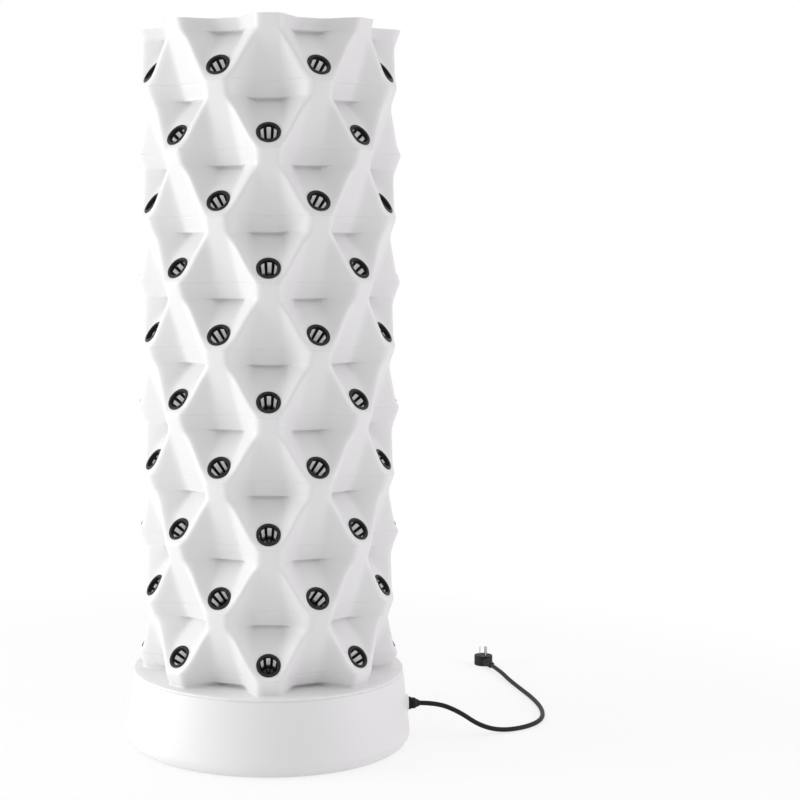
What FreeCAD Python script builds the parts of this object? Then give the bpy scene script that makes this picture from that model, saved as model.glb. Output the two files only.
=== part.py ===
import FreeCAD, Part
import os
from math import sin, cos, tan, radians, degrees, pi, hypot, ceil

Vector = FreeCAD.Vector
os.makedirs("parts", exist_ok=True)

# A vertical planter tower: ten stacked growing sections with sloped pockets for net cups,
# on a round water tank with a submersible pump, a riser pipe and a drip tray at the top.
# Millimetres, +Z up, origin on the ground under the middle of the tank. The front faces -Y.
# A wall's corners are given as (side, out, height): sideways from the middle of a pocket's
# column, outwards from the tower's axis, and above the centres of the section's cups.

# Corners of what is round on the real tower
tank_sides = 32
rim_sides = 16
housing_sides = 12
small_sides = 8

# Growing sections
layers = 10                 # sections, one above the other
pockets = 8                 # net cups in each section
layer_pitch = 116.0         # height from one row of cups to the next
hole_out = 226.0            # from the tower's axis to the centre of a cup's hole
ledge_tilt = 35.0           # how far the face of a pocket looks up, in degrees
wall = 3.0                  # thickness of the moulded wall
fold_above_cup = 62.6       # from the centre of a hole up to the fold over its pocket
nose_below_cup = 25.5       # from the centre of a hole down to the edge of its nose
nose_half_width = 22.8
waist_half_width = 22.0
waist_step = 10.0           # how far the waist draws back under the nose above it
fold_half_width = 26.0
crown_height = 21.0         # rim of the top section above its folds
inner_corner_shift = 1.0    # how far the inside corners lie sideways of the outside ones

# Net cups
flange_radius = 22.3
flange_rise = 2.2           # height of the flange's inner edge over the wall
cup_mouth_radius = 18.6     # outside of the basket, under the flange
cup_base_radius = 14.0
cup_depth = 44.0
cup_wall = 1.4
cup_floor = 2.0             # thickness under the inside's lowest point
cup_clearance = 0.6         # between the basket and the hole that it hangs in
lift_pocket = 0             # the pocket of each section whose cup is a piece of its own

# Tank and lid
tank_height = 140.0         # to the top of the lid
lid_rim = 20.2              # width of the lid round the foot of its collar
tank_flare = 14.0           # how much wider the tank is over its foot than at the lid
tank_foot_inset = 12.0      # how much narrower the flat floor is than that
tank_widest_height = 16.0
tank_shoulder = 4.0         # the rounded foot's middle corner, in and up
tank_wall = 3.0
lid_thickness = 5.0
lid_opening_radius = 160.0

# Cover and drip tray
cover_thickness = 4.0
cover_drop = 9.0            # top of the cover below the edge of the crown
cover_clearance = 0.4
cover_side_clearance = 2.0  # beside the cover's corners, where the crown's flanks fold inwards
knob_radius = 14.0
knob_height = 8.0
tray_rim_rise = 4.0         # underside of the tray's flange above the folds' inside corners
tray_radius = 150.0         # inside of the dish at its top
tray_draft = 3.0            # how much narrower it is at its floor
tray_depth = 18.0
tray_wall = 2.5
tray_clearance = 0.3
tray_holes = 6
tray_hole = 6.0
tray_hole_circle = 128.0

# Riser pipe and spray cap
pipe_radius = 11.0
pipe_wall = 2.0
pipe_clearance = 0.2
riser_lower_length = 620.0
riser_over_tray = 4.0       # end of the riser above the tray's floor
sleeve_wall = 2.5
sleeve_length = 60.0
cap_radius = 20.0
cap_sleeve = 5.0            # height of the cap's sleeve, from the tray's floor
cap_gap = 6.0               # free height under the cap's disc
cap_wall = 2.0
cap_posts = 3
cap_post_width = 4.0

# Pump, under the riser, with its inlet towards the front
feet_height = 8.0
feet_radius = 8.0
feet_neck_radius = 4.0
volute_radius = 27.0
volute_ahead = 14.0         # of the riser's axis
volute_behind = 15.0
motor_length = 51.0
motor_half_width = 27.0
motor_height = 50.0
motor_chamfer = 8.0
chamber_radius = 22.0
chamber_depth = 24.0
outlet_bore_radius = 6.0
outlet_shoulder = 5.0       # height of the riser's seat over the impeller housing
outlet_spigot = 22.0        # length of the outlet inside the riser
shaft_radius = 2.0
shaft_clearance = 0.05
shaft_nose = 2.0            # how far it stands out of the impeller
shaft_seat = 10.0           # its length in the housing behind the chamber
impeller_radius = 19.0
impeller_hub_radius = 6.0
impeller_depth = 18.0
impeller_gap = 2.0          # to the back of the chamber
impeller_blades = 6
blade_thickness = 2.0
strainer_radius = 25.0
strainer_depth = 14.0
strainer_wall = 2.0
strainer_slots = 3
strainer_slot = 6.0
strainer_pitch = 12.0
strainer_slot_length = 34.0

# Lead, gland and plug
lead_radius = 4.5
arc_share = 0.45            # an arc's reach along the shorter of its two runs
arc_step = 0.3              # the most that one face of the lead turns, in radians
gland_height = 66.0
gland_thread_radius = 8.0
gland_clearance = 0.3
gland_pad_rise = 1.1        # least height of the pad's flat faces over the tank's wall
gland_pad_radius = 16.0
gland_flange_radius = 12.0
gland_flange = 5.0
gland_barrel_end = 5.0      # length of the thread beyond the locknut
gland_nut_radius = 10.5
gland_nut_end_radius = 6.3
gland_nut_length = 16.0
gland_nut_straight = 9.6
plug_radius = 20.0
plug_height = 22.0
plug_edge = 2.0
plug_neck_length = 34.0
plug_neck_half_width = 9.5
plug_neck_inset = 2.0       # neck's faces in from the plug's faces
plug_neck_root = 6.0        # how deep the neck reaches into the plug
plug_neck_end_radius = 6.0
pin_width = 6.3
pin_thickness = 1.6
pin_length = 18.0
earth_pin_length = 21.0
pin_turn = 60.0             # of the slanted pins from the plug's own axis
live_pin_circle = 7.92
earth_pin_circle = 10.31

# How far a cutting body runs past what it cuts, and a joined body into what carries it
overrun = 1.0

# Worked out from the sizes above
column_angle = 180.0 / pockets
tilt = radians(ledge_tilt)
nose_out = hole_out + nose_below_cup * tan(tilt)
fold_out = hole_out - fold_above_cup * tan(tilt)
waist_out = nose_out - waist_step
collar_height = layer_pitch - nose_below_cup - fold_above_cup
lowest_cup_height = tank_height + layer_pitch - fold_above_cup
top_cup_height = lowest_cup_height + (layers - 1) * layer_pitch
crown_top = top_cup_height + fold_above_cup + crown_height
cup_hole_radius = cup_mouth_radius + cup_clearance
tank_top_radius = waist_out + lid_rim
tank_widest_radius = tank_top_radius + tank_flare
tank_foot_radius = tank_widest_radius - tank_foot_inset
tank_rim = tank_height - lid_thickness
cover_top = crown_top - cover_drop
cover_bottom = cover_top - cover_thickness
riser_inner_radius = pipe_radius - pipe_wall
pipe_bore_radius = pipe_radius + pipe_clearance
motor_bottom = tank_wall + feet_height
motor_back = volute_behind + motor_length
pump_axis_height = motor_bottom + volute_radius
chamber_back = chamber_depth - volute_ahead
impeller_back = chamber_back - impeller_gap
impeller_front = impeller_back - impeller_depth
shaft_bore_radius = shaft_radius + shaft_clearance
riser_foot = pump_axis_height + volute_radius + outlet_shoulder
riser_joint = riser_foot + riser_lower_length
tank_side_slope = tank_flare / (tank_rim - tank_widest_height)
tank_side_at_gland = tank_top_radius + tank_side_slope * (tank_rim - gland_height)
gland_pad_depth = gland_pad_rise + tank_side_slope * gland_pad_radius
gland_pad_in = tank_side_at_gland - tank_wall - gland_pad_depth
gland_pad_out = tank_side_at_gland + gland_pad_depth
gland_bore_radius = gland_thread_radius + gland_clearance
gland_nut_foot = gland_pad_out + gland_flange
gland_end = gland_nut_foot + gland_nut_length
plug_lead_height = plug_height / 2

# The lead's way out of the gland and over the ground to the plug, as the corners of its runs
cord_route = [
    (gland_end, 0, gland_height), (gland_end + 34, 0, gland_height), (gland_end + 76, 5, 48),
    (gland_end + 116, 13, 19), (gland_end + 158, 25, 5.2), (gland_end + 212, 50, 4.9),
    (gland_end + 252, 104, 4.9), (gland_end + 264, 180, 4.9), (gland_end + 258, 264, 4.9),
    (gland_end + 242, 350, 4.9), (gland_end + 229, 410, 7), (gland_end + 219, 464, plug_lead_height),
    (gland_end + 207, 518, plug_lead_height),
]


def export(name, shape):
    """Write one sub-part to its own file."""
    if not shape.isValid():
        raise ValueError(name + " is not a valid solid")
    shape.exportStep("parts/" + name + ".step")


def facet(points):
    return Part.Face(Part.makePolygon(list(points) + [points[0]]))


def closed_solid(faces):
    shell = Part.makeShell(faces)
    shell.sewShape()
    solid = Part.Solid(shell)
    if solid.Volume < 0:
        solid.reverse()
    return solid


def ring(radius, height, sides, turn=0.0):
    """Corners of a level polygon round the Z axis whose flats lie at the radius."""
    corner = radius / cos(pi / sides)
    return [Vector(corner * cos(2 * pi * (k + 0.5) / sides + turn),
                   corner * sin(2 * pi * (k + 0.5) / sides + turn), height) for k in range(sides)]


def band(lower, upper):
    """Flat four-sided faces between two rings with as many corners."""
    count = len(lower)
    return [facet([lower[k], lower[(k + 1) % count], upper[(k + 1) % count], upper[k]])
            for k in range(count)]


def plate(outline, holes=()):
    """A flat face with holes."""
    face = facet(outline)
    for hole in holes:
        face = face.cut(facet(hole))
    return face.Faces[0]


def turned(profile, sides):
    """A many-sided turned solid from a closed profile of (radius, height) points."""
    faces = []
    rings = [ring(r, z, sides) if r > 0 else None for r, z in profile]
    for k, here in enumerate(rings):
        after = rings[(k + 1) % len(rings)]
        (r0, z0), (r1, z1) = profile[k], profile[(k + 1) % len(rings)]
        if here is None and after is None:
            continue
        if here is None or after is None:
            around = here or after
            if z0 == z1:
                faces.append(facet(around))
            else:
                tip = Vector(0, 0, z0 if here is None else z1)
                faces += [facet([around[i], around[(i + 1) % sides], tip]) for i in range(sides)]
        elif z0 == z1:
            outer, inner = (here, after) if r0 > r1 else (after, here)
            faces.append(plate(outer, [inner]))
        else:
            faces += band(here, after)
    return closed_solid(faces)


def rod(radius, low, high, sides):
    """A many-sided rod along the Z axis."""
    return turned([(0, low), (radius, low), (radius, high), (0, high)], sides)


def tube(inner, outer, low, high, sides):
    return turned([(inner, low), (outer, low), (outer, high), (inner, high)], sides)


def in_column(column, side, out, height):
    """A point of the tower: sideways from a column's middle line, outwards from the axis, and up."""
    angle = radians(column * column_angle)
    return Vector(side * cos(angle) + out * sin(angle), side * sin(angle) - out * cos(angle), height)


def meet(p, along_p, q, along_q):
    """Where two lines of the (out, height) plane cross."""
    cross = along_p[0] * along_q[1] - along_p[1] * along_q[0]
    t = ((q[0] - p[0]) * along_q[1] - (q[1] - p[1]) * along_q[0]) / cross
    return (p[0] + t * along_p[0], p[1] + t * along_p[1])


def inward(p, q):
    """The line from p up to q moved inwards by the wall's thickness, as a point and a direction."""
    run = (q[0] - p[0], q[1] - p[1])
    size = hypot(*run)
    return (p[0] - run[1] / size * wall, p[1] + run[0] / size * wall), run


def wall_corners():
    """Corners of a section's wall as (side, out, height over its cups), outside and inside."""
    nose = (nose_out, -nose_below_cup)
    fold = (fold_out, fold_above_cup)
    waist = (waist_out, fold_above_cup)
    next_nose = (nose_out, layer_pitch - nose_below_cup)
    recess_foot = (fold_out, fold_above_cup - layer_pitch)
    share = (fold_above_cup + nose_below_cup) / layer_pitch
    recess = (waist_out + (fold_out - waist_out) * share, -nose_below_cup)
    recess_half = waist_half_width + (fold_half_width - waist_half_width) * share
    ledge_in = inward(nose, fold)
    recess_in = inward(recess_foot, waist)
    next_recess_in = inward(fold, (waist_out, fold_above_cup + layer_pitch))
    waist_in = inward(waist, next_nose)
    outside = {
        "nose": (nose_half_width,) + nose,
        "fold": (fold_half_width,) + fold,
        "waist": (waist_half_width,) + waist,
        "recess": (recess_half,) + recess,
    }
    inside = {
        "nose": (nose_half_width - inner_corner_shift,) + ledge_in[0],
        "fold": (fold_half_width + inner_corner_shift,) + meet(*ledge_in, *next_recess_in),
        "waist": (waist_half_width - inner_corner_shift,) + meet(*recess_in, *waist_in),
        "recess": (recess_half + inner_corner_shift,) + inward(recess, waist)[0],
    }
    return outside, inside


def at_height(p, q, height):
    """The point at a height on the line through two corners."""
    share = (height - p[2]) / (q[2] - p[2])
    return tuple(a + (b - a) * share for a, b in zip(p, q))


def rim_corners(corners, share=1.0):
    """The corners of a wall's upper edge, over the cups and between them: share 1 is a whole collar."""
    ends = []
    for low, high in (("fold", "recess"), ("waist", "nose")):
        start, end = corners[low], corners[high]
        raised = (end[0], end[1], end[2] + layer_pitch)
        ends.append(tuple(a + (b - a) * share for a, b in zip(start, raised)))
    return ends


def level_corners(corners, height):
    """The same two corners where the collar passes a height over the cups."""
    over_cup, between_cups = rim_corners(corners)
    return at_height(corners["fold"], over_cup, height), at_height(corners["waist"], between_cups, height)


def placer(shift, base):
    """A function that puts a corner on one side of a column, in a section that is turned and raised."""
    def put(corner, column, side):
        return in_column(column + shift, side * corner[0], corner[1], base + corner[2])
    return put


def pocket_skin(corners, put, holes):
    """The lower part of one skin of a section: its ledges, each with a hole, and the recesses between."""
    nose, fold, waist, recess = (corners[name] for name in ("nose", "fold", "waist", "recess"))
    faces = []
    for pocket in range(pockets):
        cup = 2 * pocket
        gap = cup + 1
        ledge = [put(nose, cup, -1), put(nose, cup, 1), put(fold, cup, 1), put(fold, cup, -1)]
        faces.append(plate(ledge, [holes[pocket]]))
        faces.append(facet([put(recess, gap, -1), put(recess, gap, 1),
                            put(waist, gap, 1), put(waist, gap, -1)]))
        for side in (-1, 1):
            near = cup + side
            faces.append(facet([put(nose, cup, side), put(waist, near, -side), put(fold, cup, side)]))
            faces.append(facet([put(nose, cup, side), put(recess, near, -side), put(waist, near, -side)]))
    return faces


def collar_skin(low, high, put):
    """One skin of the collar that takes the next section, between two pairs of corners."""
    (low_cup, low_gap), (high_cup, high_gap) = low, high
    faces = []
    for pocket in range(pockets):
        cup = 2 * pocket
        for column, foot, head in ((cup, low_cup, high_cup), (cup + 1, low_gap, high_gap)):
            faces.append(facet([put(foot, column, -1), put(foot, column, 1),
                                put(head, column, 1), put(head, column, -1)]))
        for side in (-1, 1):
            near = cup + side
            start, end = put(low_cup, cup, side), put(high_gap, near, -side)
            faces.append(facet([start, put(low_gap, near, -side), end]))
            faces.append(facet([start, end, put(high_cup, cup, side)]))
    return faces


def rim_ring(pair, put):
    """A rim's corners in order round the tower."""
    points = []
    for pocket in range(pockets):
        for column, corner in ((2 * pocket, pair[0]), (2 * pocket + 1, pair[1])):
            points += [put(corner, column, -1), put(corner, column, 1)]
    return points


def rim_faces(first, second):
    """The narrow faces of a rim, between an outer and an inner ring of corners."""
    faces = []
    count = len(first)
    for k in range(count):
        a, b = first[k], first[(k + 1) % count]
        d, c = second[k], second[(k + 1) % count]
        if k % 2 == 0:
            faces.append(facet([a, b, c, d]))
        else:
            faces += [facet([a, b, d]), facet([b, c, d])]
    return faces


def cup_placement(layer, pocket):
    """Where a net cup hangs: its own Z axis looks out of the pocket, its origin lies on the wall."""
    column = 2 * pocket + layer % 2
    turn = FreeCAD.Rotation(Vector(0, 0, 1), column * column_angle - 90)
    tip = FreeCAD.Rotation(Vector(0, 1, 0), 90 - ledge_tilt)
    height = lowest_cup_height + layer * layer_pitch
    return FreeCAD.Placement(in_column(column, 0, hole_out, height), turn * tip)


def section(layer):
    """One growing section, from its noses' edge up to the collar for the next one, or to the crown."""
    put = placer(layer % 2, lowest_cup_height + layer * layer_pitch)
    share = crown_height / collar_height if layer == layers - 1 else 1.0
    rims = []
    edges = []
    faces = []
    hole_rings = []
    for corners, depth in zip(wall_corners(), (0, wall)):
        outline = ring(cup_hole_radius, -depth, small_sides)
        holes = [[cup_placement(layer, pocket).multVec(p) for p in outline] for pocket in range(pockets)]
        hole_rings.append(holes)
        rim = rim_corners(corners, share)
        faces += pocket_skin(corners, put, holes)
        faces += collar_skin((corners["fold"], corners["waist"]), rim, put)
        edges.append(rim_ring((corners["nose"], corners["recess"]), put))
        rims.append(rim_ring(rim, put))
    for outer, inner in zip(*hole_rings):
        faces += band(inner, outer)
    return closed_solid(faces + rim_faces(*edges) + rim_faces(*rims))


def net_cup():
    """A tapered net cup under a domed flange, pointed inside, hanging from its own origin along -Z."""
    return turned([
        (flange_radius, 0), (cup_mouth_radius - cup_wall, flange_rise), (0, cup_floor - cup_depth),
        (0, -cup_depth), (cup_base_radius, -cup_depth), (cup_mouth_radius, 0),
    ], small_sides)


def moved(shape, placement):
    copy = shape.copy()
    copy.Placement = placement
    return copy


def water_tank():
    """The round tank with its rounded foot, and a flat pad in its side for the cable gland."""
    profile = [
        (0, 0), (tank_foot_radius, 0), (tank_widest_radius - tank_shoulder, tank_shoulder),
        (tank_widest_radius, tank_widest_height), (tank_top_radius, tank_rim),
        (tank_top_radius - tank_wall, tank_rim), (tank_widest_radius - tank_wall, tank_widest_height),
        (tank_foot_radius - tank_wall, tank_wall), (0, tank_wall),
    ]
    tank = turned(profile, tank_sides)
    pad = along_x(rod(gland_pad_radius, gland_pad_in, gland_pad_out, small_sides))
    bore = along_x(rod(gland_bore_radius, gland_pad_in - overrun, gland_pad_out + overrun, small_sides))
    return tank.fuse(pad).cut(bore).removeSplitter().Solids[0]


def along_x(shape):
    """A solid made round the Z axis, laid along +X at the gland's height."""
    turn = FreeCAD.Rotation(Vector(0, 1, 0), 90)
    return moved(shape, FreeCAD.Placement(Vector(0, 0, gland_height), turn))


def along_y(shape):
    """A solid made round the Z axis, laid along +Y at the pump's height."""
    turn = FreeCAD.Rotation(Vector(-1, 0, 0), 90)
    return moved(shape, FreeCAD.Placement(Vector(0, 0, pump_axis_height), turn))


def tank_lid():
    """The ring-shaped lid: a flat rim on the tank, a wide opening, and the collar for the lowest section."""
    put = placer(1, lowest_cup_height - layer_pitch)
    feet = []
    rims = []
    faces = []
    for corners in wall_corners():
        foot = level_corners(corners, fold_above_cup)
        rim = rim_corners(corners)
        faces += collar_skin(foot, rim, put)
        feet.append(rim_ring(foot, put))
        rims.append(rim_ring(rim, put))
    edge_low, edge_high = (ring(tank_top_radius, z, tank_sides) for z in (tank_rim, tank_height))
    mouth_low, mouth_high = (ring(lid_opening_radius, z, rim_sides) for z in (tank_rim, tank_height))
    faces += rim_faces(*rims) + band(edge_low, edge_high) + band(mouth_low, mouth_high)
    faces += [plate(edge_high, [feet[0]]), plate(feet[1], [mouth_high]), plate(edge_low, [mouth_low])]
    return closed_solid(faces)


def top_cover():
    """The cover that drops into the tapered crown, with its knob."""
    over_cup, between_cups = level_corners(wall_corners()[1], cover_bottom - top_cup_height)
    reach = cover_clearance / cos(tilt)
    pair = [(over_cup[0] + cover_side_clearance, over_cup[1] - reach, over_cup[2]),
            (between_cups[0] - cover_side_clearance, between_cups[1] - reach, between_cups[2])]
    low = rim_ring(pair, placer((layers - 1) % 2, top_cup_height))
    high = [p + Vector(0, 0, cover_thickness) for p in low]
    knob_low, knob_high = (ring(knob_radius, z, small_sides) for z in (cover_top, cover_top + knob_height))
    faces = band(low, high) + band(knob_low, knob_high)
    faces += [facet(low), plate(high, [knob_low]), facet(knob_high)]
    return closed_solid(faces)


def tray_seat():
    """Where the tray's flange lies on the folds of the top section: its radius and its height."""
    inside = wall_corners()[1]
    rise = inside["fold"][2] + tray_rim_rise
    return level_corners(inside, rise)[0][1] - tray_clearance, top_cup_height + rise


def tray_floor():
    return tray_seat()[1] + tray_wall - tray_depth


def drip_tray():
    """The dish that spreads the water: its flange lies on the folds of the top section."""
    flange, rim = tray_seat()
    base = tray_floor()
    rim_low, rim_high = (ring(flange, rim + z, rim_sides) for z in (0, tray_wall))
    lip = ring(tray_radius, rim + tray_wall, rim_sides)
    under = ring(tray_radius + tray_wall, rim, rim_sides)
    floor, sole = (ring(tray_radius - tray_draft + x, base + z, rim_sides)
                   for x, z in ((0, tray_wall), (tray_wall, 0)))
    bore_high, bore_low = (ring(pipe_bore_radius, base + z, small_sides) for z in (tray_wall, 0))
    holes_high, holes_low = [], []
    for k in range(tray_holes):
        turn = FreeCAD.Rotation(Vector(0, 0, 1), 360.0 * k / tray_holes)
        middle = turn.multVec(Vector(tray_hole_circle, 0, 0))
        for holes, z in ((holes_high, base + tray_wall), (holes_low, base)):
            holes.append([middle + turn.multVec(p) for p in ring(tray_hole / 2, z, 4)])
    faces = band(rim_low, rim_high) + band(lip, floor) + band(under, sole) + band(bore_low, bore_high)
    faces += [plate(rim_high, [lip]), plate(rim_low, [under])]
    faces += [plate(floor, [bore_high] + holes_high), plate(sole, [bore_low] + holes_low)]
    for low, high in zip(holes_low, holes_high):
        faces += band(low, high)
    return closed_solid(faces)


def riser_lower():
    return tube(riser_inner_radius, pipe_radius, riser_foot, riser_joint, small_sides)


def riser_upper():
    """The upper pipe, which ends a little over the drip tray's floor."""
    top = tray_floor() + tray_wall + riser_over_tray
    return tube(riser_inner_radius, pipe_radius, riser_joint, top, small_sides)


def riser_coupling():
    """The sleeve over the joint of the two pipes."""
    reach = sleeve_length / 2
    return tube(pipe_bore_radius, pipe_bore_radius + sleeve_wall, riser_joint - reach, riser_joint + reach,
                small_sides)


def spray_cap():
    """A sleeve on the riser's end that carries a disc on three posts, which turns the jet outwards."""
    foot = tray_floor() + tray_wall
    cap = tube(pipe_bore_radius, pipe_bore_radius + cap_wall, foot, foot + cap_sleeve, small_sides)
    low = foot + cap_sleeve + cap_gap
    high = low + cap_wall
    disc = turned([(0, low), (cap_radius, low), (cap_radius - cap_wall, high), (0, high)], small_sides)
    cap = cap.fuse(disc)
    for k in range(cap_posts):
        post = Part.makeBox(cap_wall, cap_post_width, cap_gap + 2 * overrun)
        post.translate(Vector(pipe_bore_radius, -cap_post_width / 2, foot + cap_sleeve - overrun))
        post.rotate(Vector(0, 0, 0), Vector(0, 0, 1), 360.0 * k / cap_posts)
        cap = cap.fuse(post)
    return cap.removeSplitter().Solids[0]


def prism_y(points, front, back):
    """An upright outline of (side, height) points, from front to back."""
    return closed_solid(
        band([Vector(x, front, z) for x, z in points], [Vector(x, back, z) for x, z in points])
        + [facet([Vector(x, y, z) for x, z in points]) for y in (front, back)])


def pump_housing():
    """The motor's block, the round impeller housing in front of it, and the upright outlet."""
    half, low, high, cut = motor_half_width, motor_bottom, motor_bottom + motor_height, motor_chamfer
    block = prism_y([(-half, low), (half, low), (half, high - cut), (half - cut, high),
                     (cut - half, high), (-half, high - cut)], volute_behind, motor_back)
    volute = along_y(rod(volute_radius, -volute_ahead, volute_behind, housing_sides))
    seat = rod(pipe_radius, pump_axis_height, riser_foot, small_sides)
    spigot_top = riser_foot + outlet_spigot
    spigot = rod(riser_inner_radius - pipe_clearance, pump_axis_height, spigot_top, small_sides)
    chamber = along_y(rod(chamber_radius, -volute_ahead - overrun, chamber_back, housing_sides))
    bore = rod(outlet_bore_radius, pump_axis_height, spigot_top + overrun, small_sides)
    socket = along_y(rod(shaft_bore_radius, chamber_back - overrun, chamber_back + shaft_seat, small_sides))
    return block.fuse([volute, seat, spigot]).cut([chamber, bore, socket]).removeSplitter().Solids[0]


def pump_shaft():
    """The ceramic pin that the impeller turns on, its corners on its radius."""
    flat = shaft_radius * cos(pi / small_sides)
    return along_y(rod(flat, impeller_front - shaft_nose, chamber_back + shaft_seat, small_sides))


def pump_impeller():
    """The hub with its straight blades."""
    wheel = tube(shaft_bore_radius, impeller_hub_radius, impeller_front, impeller_back, small_sides)
    root = impeller_hub_radius - overrun
    for k in range(impeller_blades):
        blade = Part.makeBox(impeller_radius - root, blade_thickness, impeller_depth)
        blade.translate(Vector(root, -blade_thickness / 2, impeller_front))
        blade.rotate(Vector(0, 0, 0), Vector(0, 0, 1), 360.0 * k / impeller_blades)
        wheel = wheel.fuse(blade)
    return along_y(wheel.removeSplitter().Solids[0])


def pump_strainer():
    """The slotted cap over the pump's inlet."""
    back = -volute_ahead
    front = back - strainer_depth
    inside = strainer_radius - strainer_wall
    cap = turned([(0, front), (strainer_radius, front), (strainer_radius, back), (inside, back),
                  (inside, front + strainer_wall), (0, front + strainer_wall)], housing_sides)
    for k in range(strainer_slots):
        middle = (k - (strainer_slots - 1) / 2) * strainer_pitch
        corner = Vector(middle - strainer_slot / 2, -strainer_slot_length / 2, front - overrun)
        cap = cap.cut(Part.makeBox(strainer_slot, strainer_slot_length, strainer_wall + 2 * overrun, corner))
    return along_y(cap.removeSplitter().Solids[0])


def pump_feet():
    """Four rubber feet between the pump and the tank's floor."""
    foot = turned([(0, 0), (feet_radius, 0), (feet_neck_radius, feet_height), (0, feet_height)], small_sides)
    across = motor_half_width - feet_radius
    feet = []
    for x in (-across, across):
        for y in (volute_behind + feet_radius, motor_back - feet_radius):
            feet.append(moved(foot, FreeCAD.Placement(Vector(x, y, tank_wall), FreeCAD.Rotation())))
    return Part.makeCompound(feet)


def power_cord():
    """The free mains lead: straight runs joined by arcs as large as the runs allow, many-sided all along."""
    points = [Vector(*p) for p in cord_route]
    here = points[0]
    start = FreeCAD.Placement(here, FreeCAD.Rotation(Vector(0, 0, 1), points[1] - here))
    rings = [[start.multVec(p) for p in ring(lead_radius, 0, small_sides)]]
    radii = []
    length = 0.0
    for before, corner, after in zip(points, points[1:], points[2:]):
        to_corner, onward = corner - before, after - corner
        turn = to_corner.getAngle(onward)
        reach = min(to_corner.Length, onward.Length) * arc_share
        bend = reach / tan(turn / 2)
        back = corner - to_corner * (reach / to_corner.Length)
        axis = to_corner.cross(onward).normalize()
        middle = back + axis.cross(to_corner).normalize() * bend
        rings.append([p + back - here for p in rings[-1]])
        steps = ceil(turn / arc_step)
        swing = FreeCAD.Placement(Vector(), FreeCAD.Rotation(axis, degrees(turn) / steps), middle)
        for _ in range(steps):
            rings.append([swing.multVec(p) for p in rings[-1]])
        length += (back - here).Length + bend * turn
        radii.append(round(bend, 1))
        here = corner + onward * (reach / onward.Length)
    rings.append([p + points[-1] - here for p in rings[-1]])
    length += (points[-1] - here).Length
    faces = [facet(rings[0]), facet(rings[-1])]
    for first, second in zip(rings, rings[1:]):
        faces += band(first, second)
    lead = closed_solid(faces)
    print("radii", radii, "length", round(length, 1),
          "volume share", round(lead.Volume / (faces[0].Area * length), 4))
    return lead


def gland_body():
    """The gland's threaded barrel through the tank's wall, with its flange against the pad."""
    inner_end = gland_pad_in - gland_flange - gland_barrel_end
    return along_x(turned([
        (0, inner_end), (gland_thread_radius, inner_end), (gland_thread_radius, gland_pad_out),
        (gland_flange_radius, gland_pad_out), (gland_flange_radius, gland_nut_foot), (0, gland_nut_foot),
    ], small_sides))


def gland_locknut():
    """The nut that draws the gland up from inside the tank."""
    return along_x(tube(gland_bore_radius, gland_flange_radius, gland_pad_in - gland_flange, gland_pad_in,
                        small_sides))


def gland_nut():
    """The domed nut that grips the lead."""
    shoulder = gland_nut_foot + gland_nut_straight
    return along_x(turned([
        (0, gland_nut_foot), (gland_nut_radius, gland_nut_foot), (gland_nut_radius, shoulder),
        (gland_nut_end_radius, gland_end), (0, gland_end),
    ], small_sides))


def plug_placement():
    """The plug lies beyond the end of its lead, its neck in line with it."""
    before, end = (Vector(*p) for p in cord_route[-2:])
    onward = (end - before).normalize()
    middle = end + onward * (plug_radius + plug_neck_length)
    turn = FreeCAD.Rotation(Vector(1, 0, 0), onward)
    return FreeCAD.Placement(Vector(middle.x, middle.y, 0), turn)


def plug_body():
    """The round plug lying on its back, with the tapered neck that its lead enters."""
    body = turned([(0, 0), (plug_radius - plug_edge, 0), (plug_radius, plug_edge), (plug_radius, plug_height),
                   (0, plug_height)], rim_sides)
    ends = []
    for x, half_width, half_height in (
            (plug_neck_root - plug_radius, plug_neck_half_width, plug_height / 2 - plug_neck_inset),
            (-plug_radius - plug_neck_length, plug_neck_end_radius, plug_neck_end_radius)):
        ends.append([Vector(x, y * half_width, plug_lead_height + z * half_height)
                     for y, z in ((-1, -1), (1, -1), (1, 1), (-1, 1))])
    neck = closed_solid(band(*ends) + [facet(end) for end in ends])
    return moved(body.fuse(neck).removeSplitter().Solids[0], plug_placement())


def plug_pins():
    """Three flat pins: two set slantwise, and the longer earth pin on the side of the lead."""
    pins = []
    for turn in (pin_turn, -pin_turn):
        pin = Part.makeBox(pin_thickness, pin_width, pin_length,
                           Vector(live_pin_circle - pin_thickness / 2, -pin_width / 2, plug_height))
        pin.rotate(Vector(0, 0, 0), Vector(0, 0, 1), turn)
        pins.append(pin)
    pins.append(Part.makeBox(pin_width, pin_thickness, earth_pin_length,
                             Vector(-earth_pin_circle - pin_width / 2, -pin_thickness / 2, plug_height)))
    return moved(Part.makeCompound(pins), plug_placement())


def build():
    export("water_tank", water_tank())
    export("tank_lid", tank_lid())
    cup = net_cup()
    for layer in range(layers):
        number = "%02d" % (layer + 1)
        export("section_" + number, section(layer))
        cups = [moved(cup, cup_placement(layer, pocket)) for pocket in range(pockets)]
        export("net_cup_lift_" + number, cups[lift_pocket])
        export("net_cups_" + number, Part.makeCompound(cups[:lift_pocket] + cups[lift_pocket + 1:]))
    for make in (top_cover, drip_tray, spray_cap, riser_lower, riser_upper, riser_coupling, pump_housing,
                 pump_shaft, pump_impeller, pump_strainer, pump_feet, gland_body, gland_locknut, gland_nut,
                 power_cord, plug_body, plug_pins):
        export(make.__name__, make())


build()
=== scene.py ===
"""Shapes and finishes of a vertical planter tower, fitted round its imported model."""

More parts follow.
